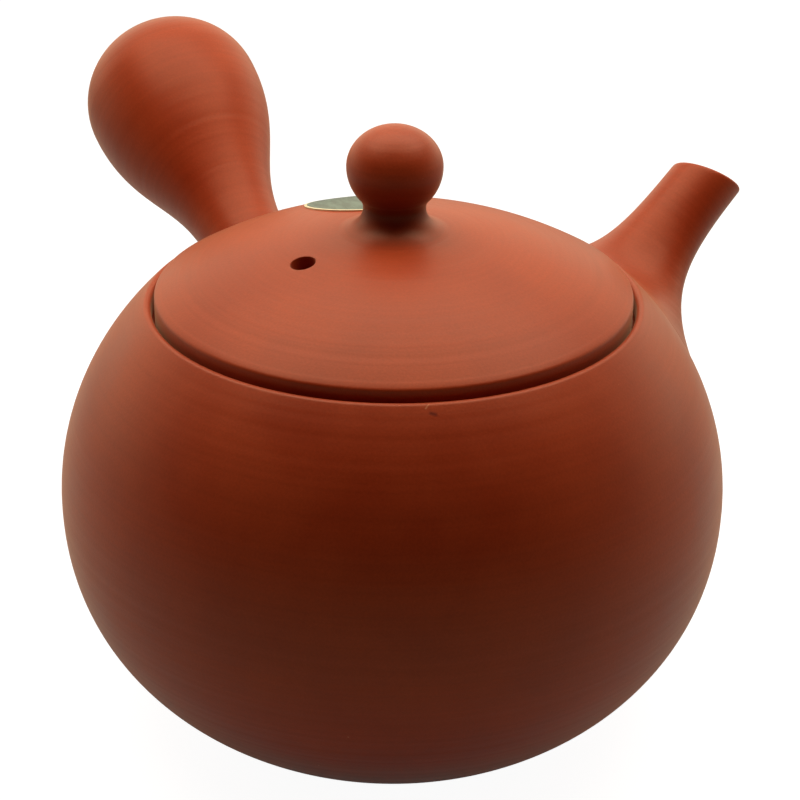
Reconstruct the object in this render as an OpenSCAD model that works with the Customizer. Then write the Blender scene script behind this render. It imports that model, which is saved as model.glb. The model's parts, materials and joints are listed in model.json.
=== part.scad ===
// Side-handled teapot of unglazed red clay: a round thrown pot with a short
// spout, a hollow bulb handle set to one side of it, a lid that drops into the
// mouth, and a sprung strainer belt inside. Millimetres, +Z up. The origin is
// the centre of the flat base, and the spout points along +X.

/* [Pot] */
// Outside diameter at the widest ring
body_d = 104; // [90:1:120]
// Height of the widest ring above the table
belly_z = 36; // [32:0.5:40]
// Diameter of the flat base
base_d = 60; // [48:1:70]
// Fullness of the lower half: 2 is an ellipse, more is squarer
belly_fullness = 2.15; // [1.9:0.05:2.5]
// Thickness of the thrown wall
wall = 3; // [2.2:0.1:4]
// Thickness of the floor
floor_t = 4; // [2.5:0.1:6]

/* [Mouth] */
// Height of the rim above the table
rim_z = 68; // [64:0.5:74]
// Inside diameter of the rim
mouth_d = 73.4; // [66:0.2:78]
// Radius of the rounded lip of the rim
lip_r = 0.8; // [0.5:0.1:1.2]
// Depth of the lid's seat below the rim
seat_depth = 3; // [2:0.1:4]
// Width of the ledge that the lid sits on
seat_w = 4.5; // [3:0.1:6]
// Thickness of the ledge
seat_t = 2.6; // [2:0.1:3.5]

/* [Spout] */
// Height on the pot's outside where the spout's axis comes out
spout_root_z = 56.3; // [53:0.1:58]
// Rise of the spout's axis above level, in degrees
spout_tilt = 38; // [34:0.2:44]
// Length of the spout along its axis
spout_len = 26.7; // [22:0.1:36]
// Outside diameter of the spout's tip
spout_tip_d = 11.6; // [10:0.1:14]
// Thickness of the clay at the tip
spout_tip_wall = 1.5; // [1:0.1:1.8]
// Diameter of the hole through the pot's wall into the spout
spout_hole_d = 13; // [11:0.2:15]
// Lean of the tip's cut, in degrees, which leaves the lower lip longer
spout_cut = 17.4; // [0:0.2:25]
// Turn of the longest lip from the bottom, away from the handle, in degrees
spout_cut_turn = 35; // [0:1:60]
// Reach of the spout's flared foot to each side of its axis
spout_foot_side = 24; // [18:0.5:26]
// Reach of the foot below the axis
spout_foot_down = 9.6; // [9:0.1:14]
// Band of the pot left bare between the foot and the rim
spout_foot_margin = 3; // [1:0.1:4]
// Distance from the axis up to which the foot hugs the pot before it turns up
spout_waist = 6.4; // [5.6:0.1:7]
// Length of the straight pull at the tip
spout_pull = 18; // [12:0.2:20]

/* [Handle] */
// Turn from the spout to the handle, seen from above, in degrees
handle_angle = 80.3; // [70:0.1:100]
// Height on the pot's outside where the handle's axis comes out
handle_root_z = 53.6; // [46:0.2:56]
// Rise of the handle's axis above level, in degrees
handle_tilt = 28.2; // [18:0.2:34]
// Distance along the axis from the pot's wall to the bulb's widest ring
bulb_s = 44; // [36:0.2:60]
// Diameter of the bulb
bulb_d = 32.4; // [28:0.2:38]
// Length of the bulb's rounded end beyond its widest ring
bulb_end = 15.1; // [12:0.1:20]
// Diameter of the neck
neck_d = 14.8; // [12:0.2:18]
// Distance along the axis to the neck's narrowest ring
neck_s = 7.4; // [6:0.2:12]
// How long the neck stays slim, as a share of the way to the bulb
neck_pull = 0.44; // [0.2:0.02:0.6]
// How long the bulb stays full, as a share of the way to the neck
bulb_pull = 0.42; // [0.2:0.02:0.6]
// Widening of the root where it is luted to the pot, in radius
handle_flare = 2.8; // [1:0.1:3.4]
// Length of that widening
handle_flare_len = 5.8; // [5:0.1:6]
// Thickness of the handle's wall
handle_wall = 3; // [2:0.1:3.6]
// Diameter of the vent hole at the handle's end
vent_d = 4; // [3:0.1:6]

/* [Lid] */
// Gap between the lid's edge and the inside of the rim
lid_gap = 0.5; // [0.4:0.05:0.8]
// Height of the lid's edge above its seat
lid_edge_h = 4.5; // [3.5:0.1:6]
// Radius of the rounding on the lid's edge
lid_edge_r = 0.6; // [0.4:0.1:1.6]
// Rise of the dome from the lid's edge to its middle
lid_rise = 9.5; // [7:0.1:13]
// Fullness of the dome: 2 is a plain bow, more is flatter on top
lid_fullness = 2.3; // [2:0.05:2.8]
// Thickness of the lid
lid_t = 3; // [2.4:0.1:4]
// Depth of the collar that hangs into the mouth
collar_depth = 10; // [6:0.5:12]
// Thickness of the collar
collar_t = 2.4; // [1.8:0.1:3.4]
// Gap between the collar and the ledge
collar_gap = 0.6; // [0.4:0.05:1]
// Diameter of the steam hole
steam_d = 4; // [3:0.1:5]
// Distance of the steam hole from the lid's middle
steam_s = 16.8; // [13:0.2:21]

/* [Knob] */
// Diameter of the knob's ball
knob_d = 14.4; // [12:0.1:18]
// Diameter of the knob's neck
knob_neck_d = 9.4; // [8:0.1:11]
// Height of the ball's widest ring above the lid
knob_belly_h = 9.9; // [9.6:0.1:12]
// Height of the knob above the lid
knob_h = 16.1; // [14:0.1:19]
// Radius of the fillet between the neck and the lid
knob_fillet = 3.6; // [2:0.1:3.8]

/* [Label] */
// Diameter of the round paper label
label_d = 19; // [14:0.5:19.5]
// Distance of the label's middle from the lid's middle
label_s = 18.2; // [17.8:0.1:20]
// Turn from the spout to the label, in degrees
label_angle = 67.4; // [0:0.2:120]
// Thickness of the label
label_t = 0.2; // [0.15:0.05:0.4]

/* [Strainer] */
// Height up the wall, above the widest ring, where the upper hem bears
strainer_top = 25.5; // [22:0.1:26]
// Height up the wall, above the widest ring, where the lower hem bears
strainer_foot = 3; // [1:0.5:8]
// Diameter of the round wire hems
hem_d = 1.6; // [1.2:0.1:2]
// Gap between a hem and the pot's wall
hem_gap = 0.15; // [0.1:0.05:0.3]
// Thickness of the woven mesh
mesh_t = 0.4; // [0.3:0.05:0.6]
// Width of the clasp that joins the belt's ends
clasp_w = 8; // [6:0.5:12]
// Height of the clasp
clasp_h = 14; // [10:0.5:16]
// Thickness of the clasp
clasp_t = 0.6; // [0.4:0.1:1]
// Diameter of the rivets' heads
rivet_d = 2.6; // [2:0.1:3]
// Height of the rivets' heads
rivet_h = 0.6; // [0.4:0.1:1]
// Distance between the two rivets
rivet_pitch = 8; // [6:0.5:9]

/* [Hidden] */
$fn = 96;

clay = [0.69, 0.34, 0.23];
steel = [0.72, 0.73, 0.74];
label_green = [0.40, 0.53, 0.44];

// Largest gap between a curved profile and its chords
chord_gap = 0.04;
// Number of points along a swell or a dome, and along the handle's flared root
curve_n = 12;
flare_n = 5;
// Length by which a cutting solid runs past what it cuts
past = 1;

body_r = body_d / 2;
base_r = base_d / 2;
mouth_r = mouth_d / 2;

// Outside of the pot: a squared ellipse below the widest ring, an ellipse above
low_h = belly_z / pow(1 - pow(base_r / body_r, belly_fullness), 1 / belly_fullness);
base_turn = asin(pow(belly_z / low_h, belly_fullness / 2));
// Turn round the lip at which it runs into the pot's outside
lip_turn = 44;
lip_c = [mouth_r + lip_r, rim_z - lip_r];
lip_start = lip_c + lip_r * [cos(lip_turn), sin(lip_turn)];
high_h = (lip_start[1] - belly_z) / sqrt(1 - pow(lip_start[0] / body_r, 2));
rim_turn = asin((lip_start[1] - belly_z) / high_h);

// A profile point moved in by d, square to the profile
function moved_in(p, n, d) = p - d * n / norm(n);
function upper(t, d = 0) =
    moved_in([body_r * cos(t), belly_z + high_h * sin(t)], [cos(t) / body_r, sin(t) / high_h], d);
function lower(t, d = 0) =
    let (e = 2 / belly_fullness)
    moved_in([body_r * pow(cos(t), e), belly_z - low_h * pow(sin(t), e)],
             [pow(cos(t), 2 - e) / body_r, -pow(sin(t), 2 - e) / low_h], d);
function upper_turn(rise) = asin(rise / high_h);
// Turns from a to b in even steps, close enough for a curve of radius r
function turns(a, b, r) =
    let (n = ceil(abs(b - a) / (2 * acos(1 - chord_gap / r))))
    [for (i = [0 : n]) a + (b - a) * i / n];
function arc(c, r, a, b) = [for (t = turns(a, b, r)) c + r * [cos(t), sin(t)]];
// Outside radius of the pot at a height above its widest ring
function pot_r(z) = upper(upper_turn(z - belly_z))[0];

seat_z = rim_z - seat_depth;
seat_r = mouth_r - seat_w;
ledge_z = seat_z - seat_t;

outside_curve = concat(
    [for (t = turns(base_turn, 0, body_r)) lower(t)],
    [for (t = turns(0, rim_turn, body_r)) if (t > 0) upper(t)]);
lip_curve = [for (t = turns(lip_turn, 180, lip_r)) if (t > lip_turn) lip_c + lip_r * [cos(t), sin(t)]];
inside_high = [for (t = turns(rim_turn, 0, body_r)) upper(t, wall)];
inside_low = [for (t = turns(0, base_turn, body_r)) if (t > 0) lower(t, wall)];
// Radius at which a run of inside points passes a height
function inside_r(points, z) = lookup(z, [for (p = points) [p[1], p[0]]]);
pot_profile = concat(
    [[0, 0]],
    outside_curve,
    lip_curve,
    [[mouth_r, seat_z], [seat_r, seat_z], [seat_r, ledge_z], [inside_r(inside_high, ledge_z), ledge_z]],
    [for (p = inside_high) if (p[1] < ledge_z) p],
    [for (p = inside_low) if (p[1] > floor_t) p],
    [[inside_r(inside_low, floor_t), floor_t], [0, floor_t]]);
filled_profile = concat([[0, 0]], outside_curve, [[0, lip_start[1]]]);

// The pot as if it were solid, which trims what is luted to its outside
module pot_outside() {
    rotate_extrude() polygon(filled_profile);
}

// Places a piece whose own axis is +Z on the pot's outside, at a height, a turn and a rise
module on_wall(height, angle, tilt) {
    rotate([0, 0, angle])
        translate([pot_r(height), 0, height])
            rotate([0, 90 - tilt, 0])
                children();
}

module pot_body() {
    color(clay)
        difference() {
            rotate_extrude() polygon(pot_profile);
            on_wall(spout_root_z, 0, spout_tilt)
                cylinder(d = spout_hole_d, h = 2 * spout_hole_d, center = true);
        }
}

// Spout: lofted from an oval foot on the pot's outside to the round tip
tip_r = spout_tip_d / 2;
bore_r = tip_r - spout_tip_wall;
hole_r = spout_hole_d / 2;
spout_axis = [cos(spout_tilt), 0, sin(spout_tilt)];
spout_up = [-sin(spout_tilt), 0, cos(spout_tilt)];
spout_side = [0, 1, 0];
spout_root = [pot_r(spout_root_z), 0, spout_root_z];
spout_foot_up = ([lip_start[0], 0, lip_start[1]] - spout_root) * spout_up - spout_foot_margin;
// Angle at which the foot leaves the pot, in degrees
foot_lift = 6.4;
spout_sides = 48;
outer_rings = 14;
bore_rings = 8;
foot_rings = 4;

function unit(v) = v / norm(v);
// Where a line from q along the spout's axis leaves the upper half of the pot
function on_pot(q) =
    let (k = [1 / body_r, 1 / body_r, 1 / high_h],
         c = [q[0] * k[0], q[1] * k[1], (q[2] - belly_z) * k[2]],
         v = [spout_axis[0] * k[0], spout_axis[1] * k[1], spout_axis[2] * k[2]],
         b = c * v)
    q + spout_axis * (sqrt(b * b - (v * v) * (c * c - 1)) - b) / (v * v);
function pot_normal(p) =
    unit([p[0] / pow(body_r, 2), p[1] / pow(body_r, 2), (p[2] - belly_z) / pow(high_h, 2)]);
// Directions square to the axis, at a turn t from the spout's left side
function round_dir(t) = cos(t) * spout_side + sin(t) * spout_up;
function foot_dir(t) =
    spout_foot_side * cos(t) * spout_side
    + (sin(t) > 0 ? spout_foot_up : spout_foot_down) * sin(t) * spout_up;
// A point of the slanting tip at radius r
function tip_point(t, r) =
    spout_root + r * round_dir(t) + (spout_len - r * sin(t + spout_cut_turn) * tan(spout_cut)) * spout_axis;
function bezier(a, b, c, d, u) =
    pow(1 - u, 3) * a + 3 * pow(1 - u, 2) * u * b + 3 * (1 - u) * u * u * c + pow(u, 3) * d;
function outer_point(t, u) =
    let (foot = on_pot(spout_root + foot_dir(t)),
         n = pot_normal(foot),
         inward = -unit(foot_dir(t)),
         along = unit(inward - (inward * n) * n),
         tip = tip_point(t, tip_r))
    bezier(foot, foot + (norm(foot_dir(t)) - spout_waist) * (cos(foot_lift) * along + sin(foot_lift) * n),
           tip - spout_pull * spout_axis, tip, u);
function bore_point(t, u) =
    let (r = bore_r + (hole_r - bore_r) * pow(1 - u, 3),
         from = (on_pot(spout_root + hole_r * round_dir(t)) - spout_root) * spout_axis,
         to = (tip_point(t, bore_r) - spout_root) * spout_axis)
    spout_root + r * round_dir(t) + (from + (to - from) * u) * spout_axis;
function foot_point(t, u) = on_pot(spout_root + u * foot_dir(t) + (1 - u) * hole_r * round_dir(t));

spout_turns = [for (j = [0 : spout_sides - 1]) 360 * j / spout_sides];
spout_grid = concat(
    [for (i = [0 : outer_rings]) [for (t = spout_turns) outer_point(t, i / outer_rings)]],
    [for (i = [bore_rings : -1 : 0]) [for (t = spout_turns) bore_point(t, i / bore_rings)]],
    [for (i = [1 : foot_rings - 1]) [for (t = spout_turns) foot_point(t, i / foot_rings)]]);
// Triangles between neighbouring rings of a grid that closes both ways
function grid_faces(rings, sides) =
    [for (i = [0 : rings - 1], j = [0 : sides - 1])
        let (i2 = (i + 1) % rings, j2 = (j + 1) % sides,
             a = i * sides + j, b = i * sides + j2, c = i2 * sides + j2, d = i2 * sides + j)
        each [[a, d, c], [a, c, b]]];

module spout() {
    color(clay)
        polyhedron(points = [for (ring = spout_grid) each ring],
                   faces = grid_faces(len(spout_grid), spout_sides));
}

// Handle: a hollow neck that swells in an S-curve into a bulb with a rounded end
handle_sink = 2 * wall;
function neck_flare(s, rise) = rise * pow(max(0, 1 - s / handle_flare_len), 3);
function swell(r_neck, r_bulb, u) =
    let (way = bulb_s - neck_s)
    bezier([r_neck, neck_s], [r_neck, neck_s + neck_pull * way],
           [r_bulb, bulb_s - bulb_pull * way], [r_bulb, bulb_s], u);
// The handle's outside, or at a depth d the cavity in it
function handle_profile(d, rise, sink) =
    let (r_neck = neck_d / 2 - d, r_bulb = bulb_d / 2 - d)
    concat(
        [[0, -sink], [r_neck + rise * (1 + 3 * sink / handle_flare_len), -sink]],
        [for (i = [0 : flare_n - 1])
            let (s = neck_s * i / flare_n)
            [r_neck + neck_flare(s, rise), s]],
        [for (i = [0 : curve_n]) swell(r_neck, r_bulb, i / curve_n)],
        [for (t = turns(0, 90, r_bulb)) if (t > 0) [r_bulb * cos(t), bulb_s + (bulb_end - d) * sin(t)]]);

module handle() {
    color(clay)
        difference() {
            on_wall(handle_root_z, handle_angle, handle_tilt)
                difference() {
                    rotate_extrude() polygon(handle_profile(0, handle_flare, handle_sink));
                    rotate_extrude() polygon(handle_profile(handle_wall, 0, handle_sink + past));
                    translate([0, 0, bulb_s])
                        cylinder(d = vent_d, h = bulb_d);
                }
            pot_outside();
        }
}

// Lid: a shallow dome with a flat land in the middle for the knob
lid_r = mouth_r - lid_gap;
lid_edge_z = seat_z + lid_edge_h;
collar_r = seat_r - collar_gap;
// Turn of the fillet at the knob's foot, in degrees
knob_foot_turn = 75;
knob_foot_r = knob_neck_d / 2 + knob_fillet * (1 - cos(knob_foot_turn));
// Width of the flat land that shows round the knob's foot
land_w = 0.6;
land_r = knob_foot_r + land_w;
edge_slope = atan(lid_rise * lid_fullness / lid_r);
edge_c = [lid_r - lid_edge_r,
          lid_edge_z + lid_edge_r * tan(edge_slope) - lid_edge_r / cos(edge_slope)];
dome_end_r = edge_c[0] + lid_edge_r * sin(edge_slope);
function dome(r) = lid_edge_z + lid_rise * (1 - pow(max(r, land_r) / lid_r, lid_fullness));
function dome_slope(r) = atan(lid_rise * lid_fullness / lid_r * pow(r / lid_r, lid_fullness - 1));
function dome_curve(a, b, d) =
    [for (i = [0 : curve_n]) let (r = a + (b - a) * i / curve_n) [r, dome(r) + d]];
crown_z = dome(0);
lid_profile = concat(
    [[0, crown_z]],
    dome_curve(land_r, dome_end_r, 0),
    [for (t = turns(90 - edge_slope, 0, lid_edge_r)) if (t < 90 - edge_slope)
        edge_c + lid_edge_r * [cos(t), sin(t)]],
    [[lid_r, seat_z], [collar_r, seat_z], [collar_r, seat_z - collar_depth],
     [collar_r - collar_t, seat_z - collar_depth]],
    dome_curve(collar_r - collar_t, land_r, -lid_t),
    [[0, crown_z - lid_t]]);

module lid() {
    color(clay)
        difference() {
            rotate_extrude() polygon(lid_profile);
            translate([-steam_s, 0, dome(steam_s)])
                rotate([0, -dome_slope(steam_s), 0])
                    cylinder(d = steam_d, h = 2 * (lid_t + steam_d), center = true);
        }
}

// Knob: a slightly flattened ball on a waisted neck with a filleted foot
knob_r = knob_d / 2;
knob_neck_r = knob_neck_d / 2;
waist_r = (pow(knob_belly_h - knob_fillet, 2) + pow(knob_neck_r, 2) - pow(knob_r, 2))
          / (2 * (knob_r - knob_neck_r));
waist_turn = atan2(knob_belly_h - knob_fillet, knob_neck_r + waist_r);
knob_profile = concat(
    [[0, 0], [knob_foot_r, 0]],
    arc([knob_neck_r + knob_fillet, knob_fillet], knob_fillet, 180 + knob_foot_turn, 180),
    [for (p = arc([knob_neck_r + waist_r, knob_fillet], waist_r, 180, 180 - waist_turn))
        if (p[1] > knob_fillet) p],
    [for (t = turns(-waist_turn, 0, knob_r)) if (t > -waist_turn)
        [knob_r * cos(t), knob_belly_h + knob_r * sin(t)]],
    [for (t = turns(0, 90, knob_r)) if (t > 0)
        [knob_r * cos(t), knob_belly_h + (knob_h - knob_belly_h) * sin(t)]]);

module lid_knob() {
    color(clay)
        translate([0, 0, crown_z])
            rotate_extrude() polygon(knob_profile);
}

module lid_label() {
    color(label_green)
        intersection() {
            rotate_extrude()
                polygon(concat(dome_curve(land_r, dome_end_r, label_t), dome_curve(dome_end_r, land_r, 0)));
            rotate([0, 0, label_angle])
                translate([label_s, 0, 0])
                    cylinder(d = label_d, h = 2 * crown_z);
        }
}

// Strainer: a sloping mesh belt between two wire hems that spring out against the wall
hem_in = wall + hem_gap + hem_d / 2;
hem_top = upper(upper_turn(strainer_top), hem_in);
hem_foot = upper(upper_turn(strainer_foot), hem_in);
belt_len = norm(hem_top - hem_foot);
belt_up = (hem_top - hem_foot) / belt_len;
belt_in = [-belt_up[1], belt_up[0]];
// A point on the belt at a distance up from its middle and a distance in towards the pot's axis
function belt(up, inward) = (hem_top + hem_foot) / 2 + up * belt_up + inward * belt_in;
function belt_strip(h, from, to) =
    [belt(-h / 2, from), belt(h / 2, from), belt(h / 2, to), belt(-h / 2, to)];
clasp_turn = 2 * asin(clasp_w / 2 / belt(0, mesh_t / 2)[0]);

module hem(p) {
    color(steel)
        rotate_extrude()
            translate(p) circle(d = hem_d, $fn = 32);
}

module strainer_upper_hem() {
    hem(hem_top);
}

module strainer_lower_hem() {
    hem(hem_foot);
}

module strainer_mesh() {
    color(steel)
        rotate_extrude() polygon(belt_strip(belt_len, -mesh_t / 2, mesh_t / 2));
}

module strainer_clasp() {
    color(steel)
        rotate([0, 0, 180 - clasp_turn / 2])
            rotate_extrude(angle = clasp_turn)
                polygon(belt_strip(clasp_h, mesh_t / 2, mesh_t / 2 + clasp_t));
}

module strainer_rivets() {
    lean = atan2(belt_in[1], -belt_in[0]);
    color(steel)
        for (up = [-rivet_pitch / 2, rivet_pitch / 2]) {
            foot = belt(up, -mesh_t / 2);
            rotate([0, 0, 180])
                translate([foot[0], 0, foot[1]])
                    rotate([0, lean - 90, 0]) {
                        cylinder(d = rivet_d / 2, h = mesh_t + clasp_t + rivet_h / 2);
                        translate([0, 0, mesh_t + clasp_t])
                            cylinder(d1 = rivet_d, d2 = rivet_d / 2, h = rivet_h);
                    }
        }
}

pot_body();
spout();
handle();
lid();
lid_knob();
lid_label();
strainer_mesh();
strainer_upper_hem();
strainer_lower_hem();
strainer_clasp();
strainer_rivets();
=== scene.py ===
"""Looks of a side-handled teapot of burnished red clay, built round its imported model.

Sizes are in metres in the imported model's frame: +Z is up, the pot's axis is Z and the spout points
to +X.
"""
import json
from math import acos, asin, atan, atan2, ceil, cos, pi, radians, sin, sqrt, tan, tau

import bpy
from bpy.props import FloatProperty, FloatVectorProperty, IntProperty, PointerProperty
from bpy.types import Operator, Panel, PropertyGroup
from mathutils import Euler, Matrix, Vector

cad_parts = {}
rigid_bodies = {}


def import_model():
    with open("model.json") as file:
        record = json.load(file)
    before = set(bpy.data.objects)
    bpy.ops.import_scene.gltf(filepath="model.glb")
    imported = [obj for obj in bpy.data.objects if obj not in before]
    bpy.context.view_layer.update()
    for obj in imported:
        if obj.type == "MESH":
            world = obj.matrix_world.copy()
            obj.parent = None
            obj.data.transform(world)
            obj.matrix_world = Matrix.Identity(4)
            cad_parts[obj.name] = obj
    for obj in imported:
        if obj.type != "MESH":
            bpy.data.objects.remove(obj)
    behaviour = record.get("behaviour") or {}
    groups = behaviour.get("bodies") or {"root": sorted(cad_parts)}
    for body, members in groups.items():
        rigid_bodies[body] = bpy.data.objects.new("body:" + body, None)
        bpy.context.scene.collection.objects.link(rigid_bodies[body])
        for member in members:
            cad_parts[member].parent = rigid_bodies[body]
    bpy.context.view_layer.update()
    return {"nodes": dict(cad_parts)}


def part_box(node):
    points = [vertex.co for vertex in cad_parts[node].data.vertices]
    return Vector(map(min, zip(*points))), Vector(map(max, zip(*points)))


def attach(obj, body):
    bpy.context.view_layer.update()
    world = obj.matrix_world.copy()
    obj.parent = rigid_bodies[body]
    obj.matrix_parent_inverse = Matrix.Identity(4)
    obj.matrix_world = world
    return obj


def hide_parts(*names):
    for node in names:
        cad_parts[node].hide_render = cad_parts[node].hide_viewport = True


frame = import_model()

bl_info = {
    "name": "Side-handled teapot",
    "version": (1, 0, 0),
    "blender": (4, 5, 0),
    "location": "View3D > Sidebar > Teapot",
    "description": "Models a clay teapot round its packed model and sets it on a white stage",
    "category": "Object",
}

MM = 0.001
POT_LOW, POT_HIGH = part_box("pot_body")
LID_LOW, LID_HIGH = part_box("lid")
KNOB_LOW, KNOB_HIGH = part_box("lid_knob")
TOP_HEM_LOW, TOP_HEM_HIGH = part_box("strainer_upper_hem")
FOOT_HEM_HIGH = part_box("strainer_lower_hem")[1]
# Turn round the lip at which it runs into the pot's outside
LIP_TURN = radians(44)
# Profiles are smooth where neighbouring faces turn less than this
SMOOTH_TURN = radians(32)
# Steps round the axis of the pot and lid, of the smaller turned pieces and of a drilled hole
WIDE_STEPS = 192
SMALL_STEPS = 96
HOLE_STEPS = 64
# Sides of a woven wire
WIRE_SIDES = 5
# Points of a shell, or of the woven wire, become one where they are this near to each other
SHELL_WELD = 0.002 * MM
WIRE_WELD = 0.02 * MM
# A point counts as lying on a surface where it is this near to it
ON_SURFACE = 0.02 * MM
# Strokes on the rim's front, painted shade in a pit and a pale scratch: both ends and the width, in
# millimetres
RIM_PIT = ((-19.6, -33.37, 67.14), (-19.16, -33.79, 66.99), 0.42)
RIM_SCRATCH = ((-19.91, -32.59, 67.64), (-18.77, -32.37, 68.38), 0.16)
# The clay's hair lines, throwing bands, grain, clouds, spacing and radii of sand, and relief
HAIR_LINE = 0.7 * MM
THROWN_BAND = 2.2 * MM
CLAY_GRAIN = 0.35 * MM
CLAY_CLOUD = 14 * MM
SAND_GAP = 5 * MM
SAND_CORE, SAND_RIM = 0.1 * MM, 0.175 * MM
CLAY_RELIEF = 0.02 * MM
# The label's streaks, fibres and relief
STREAK_L, STREAK_W = 4 * MM, 0.9 * MM
PAPER_FIBRE = 0.2 * MM
PAPER_RELIEF = 0.01 * MM
# The steel's drawing marks and relief
DRAWN_MARK = 0.4 * MM
STEEL_RELIEF = 0.01 * MM
# Sockets of a Mix node that mixes colours: the two colours and the mixture
FIRST, SECOND, MIXED = 6, 7, 2
# Width of the camera's sensor, in millimetres, and the nearest that the camera sees
SENSOR_W = 36
NEAR_CLIP = 0.01


def linear(code):
    """A colour written as sRGB hex, as the linear values that sockets take."""
    shares = [int(code[i:i + 2], 16) / 255 for i in (1, 3, 5)]
    return [s / 12.92 if s <= 0.04045 else ((s + 0.055) / 1.055) ** 2.4 for s in shares]


def length(label, note, metres):
    """A size that a user may change."""
    return FloatProperty(name=label, description=note, default=metres, unit="LENGTH", precision=5)


def turn(label, note, degrees):
    """An angle that a user may change."""
    return FloatProperty(name=label, description=note, default=radians(degrees), subtype="ANGLE")


def ratio(label, note, value):
    """A plain number that a user may change."""
    return FloatProperty(name=label, description=note, default=value)


def power(label, note, watts):
    """A lamp's power that a user may change."""
    return FloatProperty(name=label, description=note, default=watts, unit="POWER")


def colour(label, note, code):
    """A colour that a user may change, given as sRGB hex."""
    return FloatVectorProperty(name=label, description=note, default=linear(code), subtype="COLOR",
                               size=3, min=0, max=1)


class PotSizes(PropertyGroup):
    body_d: length("Body diameter", "Widest diameter of the pot", POT_HIGH.x - POT_LOW.x)
    rim_z: length("Rim height", "Height of the rim over the base", POT_HIGH.z)
    belly_z: length("Belly height", "Height of the widest ring", 36 * MM)
    base_d: length("Base diameter", "Diameter of the flat base", 60 * MM)
    belly_fullness: ratio("Belly fullness", "How square the curve under the widest ring is", 2.15)
    wall: length("Wall", "Thickness of the thrown wall", 3 * MM)
    floor_t: length("Floor", "Thickness of the floor", 4 * MM)
    mouth_d: length("Mouth", "Inner diameter of the rim", 73.4 * MM)
    lip_r: length("Lip radius", "Radius of the lip that the shoulder's curve is drawn to", 0.8 * MM)
    lip_edge: length("Lip edge", "Radius of the trimmed edge of the lip", 0.75 * MM)
    seat_depth: length("Seat depth", "Depth of the lid's ledge under the rim", 3 * MM)
    seat_w: length("Seat width", "Width of the lid's ledge", 4.5 * MM)
    seat_t: length("Seat thickness", "Thickness of the lid's ledge", 2.6 * MM)
    edge_round: length("Edge rounding", "Width of the softened edges", 0.5 * MM)
    throw_pitch: length("Throwing pitch", "Spacing of the finger ridges inside", 5 * MM)
    throw_depth: length("Throwing depth", "Depth of the finger ridges inside", 0.16 * MM)


class SpoutSizes(PropertyGroup):
    root_z: length("Root height", "Height at which the spout's axis leaves the pot", 56.3 * MM)
    tilt: turn("Tilt", "Rise of the spout's axis over level", 38)
    hole_d: length("Hole", "Diameter of the hole from the pot into the spout", 13 * MM)
    reach: length("Reach", "Length of the spout along its axis", 26.7 * MM)
    cut: turn("Cut", "Slant of the tip's plane", 17.4)
    cut_turn: turn("Cut turn", "Turn of the longest lip from the bottom, away from the handle", 35)
    lip_round: length("Lip rounding", "Width of the rounding of the spout's lip", 0.62 * MM)


class HandleSizes(PropertyGroup):
    angle: turn("Angle", "Turn from the spout to the handle", 80.3)
    root_z: length("Root height", "Height at which the handle's axis leaves the pot", 53.6 * MM)
    tilt: turn("Tilt", "Rise of the handle's axis over level", 28.2)
    bulb_s: length("Bulb place", "Distance from the pot to the bulb's widest ring", 44 * MM)
    bulb_d: length("Bulb diameter", "Diameter of the bulb", 32.4 * MM)
    bulb_end: length("Bulb end", "Length of the bulb's rounded end", 15.1 * MM)
    neck_d: length("Neck diameter", "Diameter of the neck", 14.8 * MM)
    neck_s: length("Neck place", "Distance from the pot to the neck's narrowest ring", 7.4 * MM)
    neck_pull: ratio("Neck pull", "How long the neck stays slim", 0.44)
    bulb_pull: ratio("Bulb pull", "How long the bulb stays full", 0.42)
    wall: length("Wall", "Thickness of the hollow handle", 3 * MM)
    vent_d: length("Vent", "Diameter of the firing vent in the bulb's end", 4 * MM)
    vent_round: length("Vent rounding", "Width of the rounding of the vent's edge", 0.4 * MM)
    foot_d: length("Foot diameter", "Diameter of the luted foot on the pot", 25 * MM)
    foot_pull: ratio("Foot pull", "How far the foot keeps to the pot's shoulder", 0.34)
    foot_rise: ratio("Foot rise", "How far down the foot keeps to the neck", 0.6)
    sink: length("Sink", "How far the foot is pressed into the pot", 1 * MM)


class LidSizes(PropertyGroup):
    lid_d: length("Diameter", "Outer diameter of the lid", LID_HIGH.x - LID_LOW.x)
    foot_z: length("Collar foot", "Height of the collar's lower edge", LID_LOW.z)
    crown_z: length("Crown height", "Height of the flat land in the middle", LID_HIGH.z)
    edge_h: length("Edge height", "Height of the dome's edge over the ledge", 4.5 * MM)
    edge_r: length("Edge rounding", "Radius of the dome's outer edge", 0.6 * MM)
    rise: length("Rise", "Rise of the dome from its edge to its middle", 9.5 * MM)
    fullness: ratio("Fullness", "How full the dome's curve is", 2.3)
    thickness: length("Thickness", "Thickness of the dome", 3 * MM)
    collar_d: length("Collar diameter", "Outer diameter of the collar in the mouth", 63.2 * MM)
    collar_t: length("Collar thickness", "Thickness of the collar", 2.4 * MM)
    steam_d: length("Steam hole", "Diameter of the steam hole", 3.75 * MM)
    steam_s: length("Steam hole place", "Distance from the axis to the steam hole", 16.8 * MM)
    steam_round: length("Steam hole rounding", "Width of the rounding of the steam hole's edge",
                        0.12 * MM)
    land_d: length("Land", "Diameter of the flat land for the knob", 15.94 * MM)


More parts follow.
